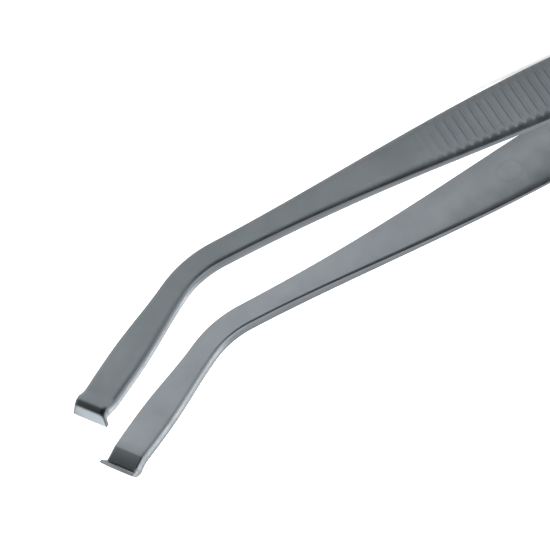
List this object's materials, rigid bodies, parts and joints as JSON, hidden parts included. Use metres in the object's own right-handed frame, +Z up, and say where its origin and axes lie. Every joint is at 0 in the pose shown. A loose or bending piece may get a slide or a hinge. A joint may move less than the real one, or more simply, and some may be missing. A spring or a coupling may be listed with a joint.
{
  "type": "print tongs",
  "caption": "Sprung steel print tongs: mirrored strip arms welded at the heel, ribbed grips, narrow necks bent edgewise, and broad blades with inturned lips that pinch wet prints.",
  "frame": {"origin": "middle of the footprint, on the surface that the tongs lie on, resting on the edges of both arms", "axes": "+X from the lips to the heel, +Y from the left arm to the right arm, the way the tongs open, +Z up across the arms' width, the way the blades are turned"},
  "size_m": [0.1554, 0.0192, 0.0251],
  "materials": {
    "arm_steel": "satin bead-blasted stainless steel, slightly polished on the edges",
    "weld_steel": "ground stainless steel weld, duller than the arms"
  },
  "bodies": {
    "heel": {"right_leaf": "arm_steel", "left_leaf": "arm_steel", "heel_weld": "weld_steel"},
    "right_arm": {"right_arm": "arm_steel"},
    "left_arm": {"left_arm": "arm_steel"}
  },
  "joints": [
    {"name": "squeeze", "type": "hinge", "parent": "heel", "child": "right_arm", "pos_m": [0.06074, 0.00111, 0.00612], "axis": [0, 0, 1], "range_deg": [0, 2.78], "stiffness_Nm_per_rad": 2.5},
    {"name": "left_arm_flex", "type": "hinge", "parent": "heel", "child": "left_arm", "pos_m": [0.06074, -0.00111, 0.00612], "axis": [0, 0, -1], "range_deg": [0, 2.78], "stiffness_Nm_per_rad": 2.5}
  ],
  "couplings": [
    {"joint": "left_arm_flex", "follows": "squeeze", "ratio": 1}
  ]
}
